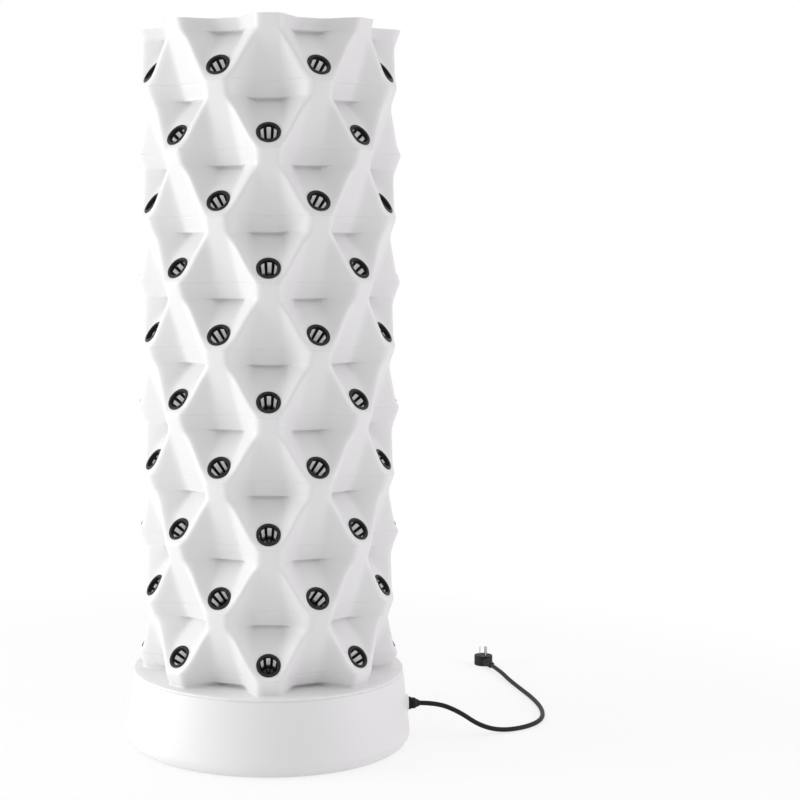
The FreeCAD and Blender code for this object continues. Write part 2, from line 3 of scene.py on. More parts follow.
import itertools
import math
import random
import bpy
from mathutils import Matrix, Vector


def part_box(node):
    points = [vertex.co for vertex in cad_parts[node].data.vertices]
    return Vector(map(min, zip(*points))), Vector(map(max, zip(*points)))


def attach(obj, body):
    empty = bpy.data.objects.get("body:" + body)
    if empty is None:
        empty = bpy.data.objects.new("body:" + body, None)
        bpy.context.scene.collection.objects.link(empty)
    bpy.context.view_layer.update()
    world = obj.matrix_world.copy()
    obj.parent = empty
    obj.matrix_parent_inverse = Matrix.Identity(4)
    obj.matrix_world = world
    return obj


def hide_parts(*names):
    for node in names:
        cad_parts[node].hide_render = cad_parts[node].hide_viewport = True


bl_info = {
    "name": "Vertical planter tower",
    "version": (1, 0, 0),
    "blender": (4, 5, 0),
    "location": "View3D > Sidebar > Planter tower",
    "description": "A white planter tower of faceted sections with black net cups, on a round water tank",
    "category": "Add Mesh",
}

import bpy
import numpy as np
from bpy.props import FloatProperty, FloatVectorProperty, IntProperty, PointerProperty
from mathutils import Matrix, Vector

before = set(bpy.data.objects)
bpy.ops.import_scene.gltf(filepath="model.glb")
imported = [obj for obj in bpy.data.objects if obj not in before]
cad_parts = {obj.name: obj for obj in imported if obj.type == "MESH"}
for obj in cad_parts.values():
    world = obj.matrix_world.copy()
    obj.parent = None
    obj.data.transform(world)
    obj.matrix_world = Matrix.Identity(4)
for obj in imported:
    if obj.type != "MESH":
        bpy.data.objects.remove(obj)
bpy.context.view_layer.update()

# What the frame tells: how many sections there are, and where their nodes and the lead's ends lie
layers = sum(name.startswith("section_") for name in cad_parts)
layer_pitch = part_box("section_02")[0].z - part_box("section_01")[0].z
lid_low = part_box("tank_lid")[0]
cover_low, cover_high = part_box("top_cover")
nut_low, nut_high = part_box("gland_nut")
flange_low, flange_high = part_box("gland_body")
plug_low, plug_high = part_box("plug_body")
gland_end = nut_high.x
gland_height = (nut_low.z + nut_high.z) / 2
lead_end_height = (plug_low.z + plug_high.z) / 2

# The corners of the lead's run from the gland over the floor to the plug: how far from the gland's
# end, how far back and how high
lying = 0.0049
cord_route = [(gland_end + out, back, height) for out, back, height in (
    (0, 0, gland_height), (0.034, 0, gland_height), (0.076, 0.005, 0.048), (0.116, 0.013, 0.019),
    (0.158, 0.025, 0.0052), (0.212, 0.050, lying), (0.252, 0.104, lying), (0.264, 0.180, lying),
    (0.258, 0.264, lying), (0.242, 0.350, lying), (0.229, 0.410, 0.007),
    (0.219, 0.464, lead_end_height), (0.207, 0.518, lead_end_height),
)]

# Half the width and half the height of the plug's neck, at the plug and at its end
neck_widths, neck_heights = (0.0095, 0.0062), (0.0090, 0.0060)

# Shares of the way across a pocket's half face, its flank and half the recess beside it
face_shares = (0, 0.22, 0.44, 0.64, 0.80, 0.92)
flank_shares = (0, 0.04, 0.10, 0.18, 0.28, 0.39, 0.50, 0.61, 0.72, 0.82, 0.90, 0.96)
recess_shares = (0, 0.08, 0.20, 0.36, 0.56, 0.78, 1)
# Rows of points: up to a section's fold, above it and down the inside; then at the fold in parts of
# its softness, and at the collar's foot in parts of its gap's height
face_rows, upper_rows, inner_rows = 26, 6, 8
fold_rows = (-1.6, -0.9, -0.45, -0.05, 0, 0.45, 0.9, 1.6)
foot_rows = (1.2, 1, 0.94, 0.84, 0.7, 0.5, 0.3)
# The lip draws the face back along a curve of this power, and fades out past the face's edge
lip_power, lip_end, lip_fade = 1.35, 1.42, 0.42
# The gap at the collar's foot fades out towards the noses
foot_end, foot_fade = 0.80, 0.45
# The oval that rounds the edges: shares of its size, and points round each
soft_rings = ((0.36, 6), (0.70, 10), (1.0, 14))

# The photograph's camera, with its tilt down in degrees
camera_place, camera_tilt = (0, -3.112, 0.9047), 4.81
camera_lens, camera_sensor, camera_shift, camera_reach = 75.2, 36, 0.1644, 60
# A window on each side of the tower: place, power in watts and tint
windows = {
    "window_left": ((-4.0, -0.65, 0.7), 107, (1, 1, 1)),
    "window_right": ((4.0, -0.7, 0.7), 38, (1, 0.88, 1)),
}
window_size, window_aim = 2.2, (0, 0, 0.66)
# The sky's light, and the heights between which it grows from nothing
sky_light, sky_from, sky_to = 0.98, 0.05, 0.6
# The floor's rings, the radii between which it fades into white, and the white it starts from
floor_radii, fade_from, fade_to, least_white = (0.6, 1.4, 3, 12), 0.45, 1.5, 0.3


def length(name, text, default):
    return FloatProperty(name=name, description=text, default=default, min=0, unit="LENGTH", precision=4)


def colour(name, text, default):
    return FloatVectorProperty(name=name, description=text, default=default, subtype="COLOR", min=0, max=1)


class SectionSizes(bpy.types.PropertyGroup):
    """The facets of a growing section."""
    pockets: IntProperty(name="Pockets", description="Net cups in each section", default=8, min=3)
    hole_out: length("Hole", "From the tower's axis to the centre of a cup's hole", 0.226)
    hole_radius: length("Hole radius", "Radius of a cup's hole", 0.0192)
    tilt: FloatProperty(name="Tilt", description="How far the face of a pocket looks up",
                        default=math.radians(35), subtype="ANGLE")
    fold_above_cup: length("Fold", "From the centre of a hole up to the fold over its pocket", 0.0626)
    nose_below_cup: length("Nose", "From the centre of a hole down to the edge of its nose", 0.0255)
    nose_half: length("Nose half width", "Half the width of a nose", 0.0228)
    waist_half: length("Waist half width", "Half the width of the waist under a nose", 0.022)
    waist_step: length("Waist step", "How far the waist draws back under a nose", 0.010)
    fold_half: length("Fold half width", "Half the width of a fold's flat middle", 0.026)
    crown_height: length("Crown", "Rim of the top section above its folds", 0.021)
    wall: length("Wall", "Thickness of the moulded wall", 0.0034)
    lip: length("Fold lip", "How far a fold stands out over its face", 0.012)
    lip_reach: length("Lip reach", "How far down the lip reaches", 0.043)
    softness: length("Softness", "Sideways rounding of a slanting edge", 0.009)
    crispness: length("Fold softness", "Rounding of a fold, up and down", 0.0048)
    seam_width: length("Seam width", "Half the width of the groove between sections", 0.0005)
    seam_depth: length("Seam depth", "Depth of the groove between sections", 0.0003)


class CupSizes(bpy.types.PropertyGroup):
    """The slotted net cups."""
    flange_radius: length("Flange radius", "Outside radius of the rim", 0.0223)
    flange_rise: length("Flange rise", "Height of the rim over the wall", 0.0022)
    mouth_radius: length("Mouth radius", "Outside radius of the basket under the rim", 0.0186)
    base_radius: length("Base radius", "Outside radius of the basket's floor", 0.014)
    depth: length("Depth", "Depth of the basket", 0.044)
    lip_radius: length("Lip radius", "Inside radius of the rim", 0.0164)
    edge: length("Edge", "Rounding of the rim's edges", 0.0012)
    hem: length("Hem", "Height of the closed band under the rim", 0.006)
    foot: length("Foot", "Height of the closed band over the floor", 0.005)
    wall: length("Wall", "Thickness of the basket", 0.0015)
    slots: IntProperty(name="Slots", description="Slots round the basket", default=8, min=3)
    slot_steps: IntProperty(name="Slot steps", description="Faces across a slot", default=3, min=1)
    rib_steps: IntProperty(name="Rib steps", description="Faces across a rib", default=2, min=1)
    sleeve_depth: length("Sleeve depth", "Depth of the white sleeve round the basket", 0.036)
    sleeve_gap: length("Sleeve gap", "Gap between the basket and the sleeve", 0.0014)
    sleeve_wall: length("Sleeve wall", "Thickness of the sleeve", 0.0011)


class TankSizes(bpy.types.PropertyGroup):
    """The round tank with its lid."""
    top_radius: length("Top radius", "Outside radius at the lid", 0.254)
    widest_radius: length("Widest radius", "Outside radius over the foot", 0.268)
    widest_height: length("Widest height", "Height of the widest place", 0.016)
    foot_radius: length("Foot radius", "Radius of the flat floor", 0.256)
    corner: length("Corner", "Rounding of the tank's foot", 0.016)
    wall: length("Wall", "Thickness of the tank's wall", 0.003)
    lid_thickness: length("Lid thickness", "Thickness of the lid", 0.005)
    lid_opening: length("Lid opening", "Radius of the opening in the lid", 0.160)
    lid_edge: length("Lid edge", "Rounding of the lid's edge", 0.002)
    collar_fillet: length("Collar fillet", "Fillet between the collar and the lid", 0.0022)
    rim_gap: length("Rim gap", "Gap between the lid and the tank's rim", 0.0002)
    foot_gap: length("Foot gap", "How far the collar's foot is drawn back between two noses", 0.012)
    foot_reach: length("Foot gap height", "Height over the lid at which that gap ends", 0.0075)
    pad_radius: length("Pad radius", "Radius of the flat pad under the gland", 0.016)
    pad_thickness: length("Pad thickness", "Thickness of the pad, through the wall", 0.008)


class CoverSizes(bpy.types.PropertyGroup):
    """The cover inside the crown, with its knob."""
    thickness: length("Thickness", "Thickness of the plate", 0.004)
    gap: length("Gap", "Gap between the plate and the crown's wall", 0.0012)
    knob_radius: length("Knob radius", "Radius of the knob", 0.014)
    knob_height: length("Knob height", "Height of the knob over the plate", 0.008)
    knob_rounding: length("Knob rounding", "Rounding of the knob's edge", 0.0025)


class LeadSizes(bpy.types.PropertyGroup):
    """The mains lead with its gland and plug."""
    diameter: length("Diameter", "Diameter of the lead", 0.009)
    length: length("Length", "Length of the free lead", 0.719)
    gland_thread: length("Gland thread", "Radius of the gland's barrel", 0.008)
    gland_flange: length("Gland flange", "Thickness of the gland's flange", 0.005)
    relief_radius: length("Relief radius", "Radius of the strain relief at its end", 0.0056)
    nut_flutes: IntProperty(name="Nut flutes", description="Flutes round the gland's nut", default=14, min=3)
    plug_radius: length("Plug radius", "Radius of the plug", 0.020)
    plug_rounding: length("Plug rounding", "Rounding of the plug's edges", 0.0018)
    plug_dish: length("Plug dish", "Depth of the plug's hollow face", 0.0008)
    plug_neck: length("Plug neck", "Length of the plug's neck from its rim", 0.034)
    neck_groove: length("Neck groove", "Depth of the neck's grooves", 0.0009)


class Finishes(bpy.types.PropertyGroup):
    """The colours of the parts."""
    white: colour("White moulding", "Tank, lid, sections and cover", (0.80, 0.80, 0.80))
    # Painted light: the sleeves' own weak glow, standing in for light in the pockets, not light through the
    # wall
    painted_sleeve_glow: FloatProperty(name="Sleeve light", description="Light through the sleeves' wall",
                               default=0.34, min=0)
    black: colour("Black cup", "Net cups", (0.010, 0.010, 0.011))
    lead: colour("Lead", "Mains lead, gland and plug", (0.007, 0.007, 0.008))
    pipe: colour("Pipe", "Riser pipes", (0.70, 0.71, 0.71))
    fitting: colour("Fitting", "Coupling and spray cap", (0.27, 0.28, 0.29))
    pump: colour("Pump", "Pump housing and strainer", (0.02, 0.02, 0.022))
    impeller: colour("Impeller", "Impeller of the pump", (0.34, 0.35, 0.34))
    metal: colour("Metal", "Shaft and plug pins", (0.62, 0.60, 0.55))
    floor: colour("Floor", "The floor under the tower", (0.95, 0.95, 0.95))
    floor_haze: FloatProperty(name="Floor haze", description="White mixed into the floor near the tower",
                              default=0.72, min=0, max=1, subtype="FACTOR")


def between(start, end, share):
    return start + (end - start) * share


# Meshes

def new_object(name, data):
    """An object in the scene."""
    thing = bpy.data.objects.new(name, data)
    bpy.context.scene.collection.objects.link(thing)
    return thing


def mesh_object(name, part):
    """A (points, faces) part as a mesh object in the scene."""
    points, faces = part
    mesh = bpy.data.meshes.new(name)
    mesh.from_pydata([tuple(p) for p in points], [], [tuple(f) for f in faces])
    return new_object(name, mesh)


def add_piece(name, part, material, body, nodes):
    """A smooth mesh object that rides on a body and stands for CAD nodes."""
    piece = mesh_object(name, part)
    mesh = piece.data
    mesh.validate()
    mesh.polygons.foreach_set("use_smooth", [True] * len(mesh.polygons))
    mesh.materials.append(material)
    return dress(piece, body, nodes)


def dress(piece, body, nodes):
    """The piece on its body, with the CAD nodes it stands for hidden."""
    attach(piece, body)
    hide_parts(*nodes)
    return piece


def join_parts(parts):
    """Several (points, faces) as one."""
    points, faces, start = [], [], 0
    for part_points, part_faces in parts:
        points.append(np.asarray(part_points, float).reshape(-1, 3))
        faces += [[i + start for i in face] for face in part_faces]
        start += len(points[-1])
    return np.concatenate(points), faces


def skin_rows(rows, closed=False):
    """Faces between rings of as many points; a ring of one point is a pole."""
    points, faces, starts = [], [], []
    total = 0
    for row in rows:
        starts.append(total)
        points.append(np.asarray(row, float).reshape(-1, 3))
        total += len(points[-1])
    pairs = list(zip(range(len(rows)), range(1, len(rows))))
    if closed:
        pairs.append((len(rows) - 1, 0))
    for low, high in pairs:
        below, above = len(points[low]), len(points[high])
        count = max(below, above)
        for k in range(count):
            after = (k + 1) % count
            face = [starts[low] + k % below, starts[low] + after % below,
                    starts[high] + after % above, starts[high] + k % above]
            faces.append(list(dict.fromkeys(face)))
    return np.concatenate(points), faces


def ring(angles, radii, height):
    """Points round the Z axis; angle 0 looks along +X."""
    return np.stack([radii * np.cos(angles), radii * np.sin(angles), np.full(len(angles), height)], axis=1)


def round_angles(count):
    return np.arange(count) * 2 * math.pi / count


def turned(profile, segments, closed=False):
    """A turned shape round the Z axis from (radius, height) points; a radius of 0 is a pole."""
    angles = round_angles(segments)
    rows = [ring(angles, radius, height) if radius else [(0, 0, height)] for radius, height in profile]
    return skin_rows(rows, closed)


def rounded(profile, radius, steps=4):
    """The profile with its inner corners rounded; the ends stay."""
    result = [profile[0]]
    for before, corner, after in zip(profile, profile[1:], profile[2:]):
        before, corner, after = (np.array(p, float) for p in (before, corner, after))
        back, ahead = before - corner, after - corner
        # Two roundings on a short side share it, with a little left between them
        reach = min(radius, 0.45 * np.linalg.norm(back), 0.45 * np.linalg.norm(ahead))
        start = corner + back / np.linalg.norm(back) * reach
        end = corner + ahead / np.linalg.norm(ahead) * reach
        for k in range(steps + 1):
            t = k / steps
            result.append(tuple((1 - t) ** 2 * start + 2 * t * (1 - t) * corner + t ** 2 * end))
    result.append(profile[-1])
    return result


def placed(part, matrix):
    """A (points, faces) part moved by a matrix."""
    points, faces = part
    turn = np.array(matrix.to_3x3())
    return np.asarray(points) @ turn.T + np.array(matrix.translation), faces


def flipped(part):
    """The part with its faces turned over."""
    points, faces = part
    return points, [list(reversed(face)) for face in faces]


# The tower's facets

class Facets:
    """The tower's faceted outside as a radius, at an angle from a cup's column and a height over its row."""

    def __init__(self, sizes):
        self.step = math.pi / sizes.pockets
        self.softness, self.crispness = sizes.softness, sizes.crispness
        self.pitch = layer_pitch
        self.low = -sizes.nose_below_cup
        self.fold = sizes.fold_above_cup
        self.high = self.low + self.pitch
        slope = math.tan(sizes.tilt)
        self.nose_out = sizes.hole_out + sizes.nose_below_cup * slope
        self.fold_out = sizes.hole_out - sizes.fold_above_cup * slope
        self.waist_out = self.nose_out - sizes.waist_step
        share = (self.fold - self.low) / self.pitch
        self.recess_out = between(self.waist_out, self.fold_out, share)
        recess_half = between(sizes.waist_half, sizes.fold_half, share)
        nose = self.corner(0, sizes.nose_half, self.nose_out, self.low)
        fold_end = self.corner(0, sizes.fold_half, self.fold_out, self.fold)
        waist = self.corner(1, sizes.waist_half, self.waist_out, self.fold)
        recess = self.corner(1, recess_half, self.recess_out, self.low)
        next_recess = self.corner(0, recess_half, self.recess_out, self.high)
        next_nose = self.corner(1, sizes.nose_half, self.nose_out, self.high)
        # The flank's edges, its crease and the planes on both sides of it, below the fold and above
        self.face_edge = (nose, fold_end), (fold_end, next_recess)
        self.recess_edge = (recess, waist), (waist, next_nose)
        self.crease = (nose, waist), (fold_end, next_nose)
        self.near_plane = (nose, waist, fold_end), (fold_end, next_nose, next_recess)
        self.far_plane = (nose, recess, waist), (fold_end, waist, next_nose)

    def corner(self, column, side, out, height):
        """A corner's place; column 1 is the one beside the cup's, and its near side is meant."""
        angle = column * self.step
        near = side if column == 0 else -side
        return np.array([near * math.cos(angle) + out * math.sin(angle),
                         out * math.cos(angle) - near * math.sin(angle), height])

    def edge_angle(self, edges, height):
        """The angle at which a straight edge between two corners passes a height."""
        angles = []
        for start, end in edges:
            share = (height - start[2]) / (end[2] - start[2])
            angles.append(np.arctan2(between(start[0], end[0], share), between(start[1], end[1], share)))
        return np.where(height <= self.fold, *angles)

    def plane_radius(self, planes, angle, height):
        """The radius of a plane through three corners."""
        radii = []
        for start, second, third in planes:
            normal = np.cross(second - start, third - start)
            across = normal[0] * np.sin(angle) + normal[1] * np.cos(angle)
            radii.append((normal @ start - normal[2] * height) / across)
        return np.where(height <= self.fold, *radii)

    def edges(self, height):
        """Where the pocket's face ends and where the recess beside it starts, as angles."""
        return self.edge_angle(self.face_edge, height), self.edge_angle(self.recess_edge, height)

    def from_column(self, angle):
        """How far an angle lies from the nearest column of cups."""
        return np.abs((angle + self.step) % (2 * self.step) - self.step)

    def radius(self, angle, height):
        """The faceted radius."""
        turns = np.floor((height - self.low) / self.pitch)
        z = height - turns * self.pitch
        a = self.from_column(angle + turns * self.step)
        face, recess = self.edges(z)
        lower = z <= self.fold
        share = np.where(lower, (z - self.low) / (self.fold - self.low),
                         (z - self.fold) / (self.high - self.fold))
        face_out = np.where(lower, between(self.nose_out, self.fold_out, share),
                            between(self.fold_out, self.recess_out, share))
        recess_out = np.where(lower, between(self.recess_out, self.waist_out, share),
                              between(self.waist_out, self.nose_out, share))
        flank = np.where(a < self.edge_angle(self.crease, z), self.plane_radius(self.near_plane, a, z),
                         self.plane_radius(self.far_plane, a, z))
        return np.where(a < face, face_out / np.cos(a),
                        np.where(a > recess, recess_out / np.cos(self.step - a), flank))

    def soft_radius(self, angle, height):
        """The radius with its edges rounded: an average over a small oval."""
        total = self.radius(angle, height)
        weight = 1.0
        for share, count in soft_rings:
            for k in range(count):
                turn = 2 * math.pi * (k + share) / count
                across = share * self.softness * math.cos(turn) / self.waist_out
                up = share * self.crispness * math.sin(turn)
                total = total + self.radius(angle + across, height + up)
            weight += count
        return total / weight


def column_angles(facets, height):
    """Angles of a ring's points, with columns of points along the facets' edges."""
    face, recess = (float(edge) for edge in facets.edges(np.array(height)))
    half = [face * s for s in face_shares]
    half += [between(face, recess, s) for s in flank_shares]
    half += [between(recess, facets.step, s) for s in recess_shares]
    one = [-a for a in reversed(half[1:])] + half[:-1]
    pockets = round(math.pi / facets.step)
    return np.array([a + 2 * facets.step * pocket for pocket in range(pockets) for a in one])


def tower_ring(angles, radii, height):
    """Points round the tower's axis; angle 0 looks to the front."""
    return np.stack([radii * np.sin(angles), -radii * np.cos(angles), np.full(len(angles), height)], axis=1)


def cup_matrix(sizes, layer, pocket):
    """A net cup's place: its own Z axis looks out of the pocket."""
    angle = (2 * pocket + layer % 2) * math.pi / sizes.pockets
    place = Vector((sizes.hole_out * math.sin(angle), -sizes.hole_out * math.cos(angle),
                    cup_height(sizes, layer)))
    turn = Matrix.Rotation(angle - math.pi / 2, 4, "Z") @ Matrix.Rotation(math.pi / 2 - sizes.tilt, 4, "Y")
    return Matrix.Translation(place) @ turn


def cup_height(sizes, layer):
    """Height of the cups' centres in a section; section 0 stands over the lid's collar."""
    return lid_face() + (layer + 1) * layer_pitch - sizes.fold_above_cup


def lid_face():
    """Height of the lid's upper face."""
    return lid_low.z + bpy.context.scene.tank_sizes.lid_thickness


def eased(share):
    """0 to 1, with a soft start and end."""
    share = np.clip(share, 0, 1)
    return share ** 2 * (3 - 2 * share)


def drawn_back(facets, sizes, angles, height):
    """How far a pocket's face lies behind its plane, under the lip of the fold."""
    below = (facets.fold - height) / sizes.lip_reach
    if not 0 < below < 1:
        return 0.0
    across = facets.from_column(angles) / facets.edges(np.array(height))[0]
    return sizes.lip * (1 - below) ** lip_power * eased((lip_end - across) / lip_fade)


def foot_gap(facets, tank, angles, over):
    """How far the collar is drawn back at a height over the lid, most in the middle between two noses."""
    if over >= tank.foot_reach:
        return 0.0
    across = facets.from_column(angles) / facets.step
    return tank.foot_gap * (1 - (over / tank.foot_reach) ** 2) * eased((foot_end - across) / foot_fade)


def section_skin(facets, sizes, top):
    """The wall of a section, with its cups' row at height 0 and a cup at the front."""
    low, fold = facets.low, facets.fold
    high = fold + sizes.crown_height if top else facets.high
    groove, depth = sizes.seam_width, sizes.seam_depth
    rise = (fold - low) / face_rows
    outside = [(low, depth), (low + groove, 0)]
    outside += [(low + rise * k, 0) for k in range(1, face_rows - 2)]
    outside += [(fold + d * sizes.crispness, 0) for d in fold_rows]
    start = fold + fold_rows[-1] * sizes.crispness
    outside += [(start + (high - groove - start) * k / upper_rows, 0) for k in range(1, upper_rows + 1)]
    outside.append((high, depth))
    rows = []
    for height, pull in outside:
        angles = column_angles(facets, min(max(height, low), facets.high))
        back = drawn_back(facets, sizes, angles, height) + pull
        rows.append(tower_ring(angles, facets.soft_radius(angles, height) - back, height))
    inside = [high, (high + fold) / 2, fold]
    inside += [fold + (low - fold) * k / inner_rows for k in range(1, inner_rows + 1)]
    under_fold = fold - 0.0002
    for height in inside:
        angles = column_angles(facets, height)
        back = drawn_back(facets, sizes, angles, min(height, under_fold)) if height <= fold else 0
        rows.append(tower_ring(angles, facets.soft_radius(angles, height) - sizes.wall - back, height))
    return skin_rows(rows, closed=True)


def cut_holes(part, cutters):
    """The part with the cutters' shapes taken out, by an exact boolean."""
    body, cutter = mesh_object("cut_part", part), mesh_object("cutter", cutters)
    boolean = body.modifiers.new("holes", "BOOLEAN")
    boolean.operation = "DIFFERENCE"
    boolean.solver = "EXACT"
    boolean.object = cutter
    bpy.context.view_layer.update()
    result = body.evaluated_get(bpy.context.evaluated_depsgraph_get()).to_mesh()
    points = np.array([v.co[:] for v in result.vertices])
    faces = [list(p.vertices) for p in result.polygons]
    for thing in (body, cutter):
        mesh = thing.data
        bpy.data.objects.remove(thing)
        bpy.data.meshes.remove(mesh)
    return points, faces


def pocket_sleeve(sizes, cups):
    """The white sleeve behind a pocket's hole, round its basket, with Z out of the pocket."""
    slope = (cups.mouth_radius - cups.base_radius) / cups.depth
    high, low = -sizes.wall * 0.6, -cups.sleeve_depth
    inside_high, inside_low = (cups.mouth_radius + slope * h + cups.sleeve_gap for h in (high, low))
    return turned([(inside_high + cups.sleeve_wall, high), (inside_low + cups.sleeve_wall, low),
                   (inside_low, low), (inside_high, high)], 40, closed=True)


def growing_section(facets, sizes, cups, top):
    """A section's wall with its holes, and its sleeves, the cups' row at height 0 and a cup at the front."""
    places = [Matrix.Translation((0, 0, -cup_height(sizes, 0))) @ cup_matrix(sizes, 0, pocket)
              for pocket in range(sizes.pockets)]
    reach = 3 * sizes.wall
    cutter = turned([(0, -reach), (sizes.hole_radius, -reach), (sizes.hole_radius, reach), (0, reach)], 48)
    wall = cut_holes(section_skin(facets, sizes, top), join_parts([placed(cutter, m) for m in places]))
    return wall, join_parts([placed(pocket_sleeve(sizes, cups), m) for m in places])


def net_cup(cups):
    """A slotted basket under a rounded rim, hanging from its origin along -Z, a slot towards +X and -X."""
    mouth, base, deep, wall = cups.mouth_radius, cups.base_radius, cups.depth, cups.wall
    lip, hem, edge, foot = cups.lip_radius, cups.hem, cups.edge, cups.foot
    rim = turned(rounded([
        (mouth - edge, -hem), (lip, -0.5 * hem), (lip, cups.flange_rise),
        (cups.flange_radius - edge, cups.flange_rise), (cups.flange_radius, 0), (mouth, 0), (mouth, -hem),
    ], edge, 3), 56, closed=True)
    slope = (mouth - base) / deep
    # Rings down the basket and in over its floor: radius, height, and whether the slots pass below them
    rings = [(mouth + slope * h, h, slotted) for h, slotted in (
        (-0.3 * hem, False), (-hem, True), (-0.45 * deep, True), (-0.7 * deep, True), (foot - deep, False))]
    rings += [(base * share, -deep, slotted) for share, slotted in (
        (1, False), (0.84, True), (0.40, False), (0.2, False))]
    wide = cups.slot_steps
    per_slot = wide + cups.rib_steps
    count = cups.slots * per_slot
    angles = (np.arange(count) - wide / 2) * 2 * math.pi / count
    skins = []
    for thick in (0, wall):
        for radius, height, _ in rings:
            on_floor = height <= -deep
            within = radius if on_floor and radius < base else radius - thick
            skins.append(ring(angles, within, height + thick * on_floor))
    rows = len(rings)

    def solid(row, k):
        return 0 <= row < rows - 1 and not (rings[row][2] and k % per_slot < wide)

    faces = []

    def add_face(*corners):
        """A face between points given as side (0 is outside), row and place round the ring."""
        faces.append([(side * rows + row) * count + k % count for side, row, k in corners])

    for row, k in itertools.product(range(rows - 1), range(count)):
        if not solid(row, k):
            continue
        under, after = row + 1, k + 1
        add_face((0, row, after), (0, row, k), (0, under, k), (0, under, after))
        add_face((1, row, k), (1, row, after), (1, under, after), (1, under, k))
        if not solid(row - 1, k):
            add_face((0, row, k), (0, row, after), (1, row, after), (1, row, k))
        if not solid(under, k):
            add_face((0, under, after), (0, under, k), (1, under, k), (1, under, after))
        if not solid(row, (k - 1) % count):
            add_face((0, row, k), (1, row, k), (1, under, k), (0, under, k))
        if not solid(row, after % count):
            add_face((1, row, after), (0, row, after), (0, under, after), (1, under, after))
    hub_radius = 0.26 * base
    hub = turned([(0, -deep), (hub_radius, -deep), (hub_radius, wall - deep), (0, wall - deep)], 24)
    return join_parts([rim, (np.concatenate(skins), faces), hub])


# Finishes

def add_node(tree, kind, inputs=None, **settings):
    """A node with its settings; an input is given as a value, or as the socket to link to it."""
    node = tree.nodes.new("ShaderNode" + kind)
    for key, value in settings.items():
        setattr(node, key, value)
    for key, value in (inputs or {}).items():
        if isinstance(value, bpy.types.NodeSocket):
            tree.links.new(value, node.inputs[key])
        else:
            node.inputs[key].default_value = value
    return node


def maths(tree, operation, *values):
    """The result of a sum with values or sockets."""
    return add_node(tree, "Math", dict(enumerate(values)), operation=operation).outputs[0]


def empty_tree(owner):
    """The cleared node tree of a material or a world."""
    owner.use_nodes = True
    owner.node_tree.nodes.clear()
    return owner.node_tree


def grain_group():
    """Fine moulded grain: a slightly uneven colour and roughness, and a height for a bump."""
    name = "Moulded grain"
    if name in bpy.data.node_groups:
        return bpy.data.node_groups[name]
    group = bpy.data.node_groups.new(name, "ShaderNodeTree")
    new_socket = group.interface.new_socket
    new_socket(name="Base", socket_type="NodeSocketColor", in_out="INPUT").default_value = (0.8, 0.8, 0.8, 1)
    for key, value in (("Shade", 0.04), ("Grain scale", 900), ("Cloud scale", 9), ("Roughness", 0.5),
                       ("Roughness spread", 0.08)):
        new_socket(name=key, socket_type="NodeSocketFloat", in_out="INPUT").default_value = value
    for key, kind in (("Color", "NodeSocketColor"), ("Roughness", "NodeSocketFloat"),
                      ("Height", "NodeSocketFloat")):
        new_socket(name=key, socket_type=kind, in_out="OUTPUT")
    given = group.nodes.new("NodeGroupInput").outputs
    place = add_node(group, "TexCoord").outputs["Object"]
    fine = add_node(group, "TexNoise",
                    {"Detail": 3, "Vector": place, "Scale": given["Grain scale"]}).outputs["Fac"]
    clouds = add_node(group, "TexNoise",
                      {"Detail": 4, "Vector": place, "Scale": given["Cloud scale"]}).outputs["Fac"]
    level = maths(group, "SUBTRACT", 1, maths(group, "MULTIPLY", clouds, given["Shade"]))
    tint = add_node(group, "Mix", data_type="RGBA", blend_type="MULTIPLY",
                    inputs={"Factor": 1, "A": given["Base"], "B": level})
    rough = maths(group, "MULTIPLY_ADD", clouds, given["Roughness spread"], given["Roughness"])
    results = group.nodes.new("NodeGroupOutput").inputs
    for key, value in (("Color", tint.outputs["Result"]), ("Roughness", rough), ("Height", fine)):
        group.links.new(value, results[key])
    return group


def moulded(name, base, roughness, bump=0.12, grain=900, shade=0.05, metallic=0.0, specular=0.5, glow=0.0):
    """A material of moulded plastic, rubber or metal with the shared grain."""
    material = bpy.data.materials.get(name) or bpy.data.materials.new(name)
    tree = empty_tree(material)
    texture = add_node(tree, "Group", node_tree=grain_group(), inputs={
        "Base": (*base, 1), "Shade": shade, "Grain scale": grain, "Roughness": roughness}).outputs
    relief = add_node(tree, "Bump", {
        "Strength": bump, "Distance": 0.0004, "Height": texture["Height"]})
    # A glow above nothing makes the surface give off painted light of its own colour
    shader = add_node(tree, "BsdfPrincipled", {
        "Base Color": texture["Color"], "Roughness": texture["Roughness"], "Metallic": metallic,
        "Specular IOR Level": specular, "Emission Color": (*base, 1), "Emission Strength": glow,
        "Normal": relief.outputs["Normal"]})
    add_node(tree, "OutputMaterial", {"Surface": shader.outputs["BSDF"]})
    return material


def white_plastic(finishes):
    return moulded("white_moulding", finishes.white, 0.42, bump=0.10, grain=700, shade=0.03)


def lead_plastic(finishes):
    return moulded("black_lead", finishes.lead, 0.48, bump=0.10, grain=1600, shade=0.2, specular=0.22)


# Pieces

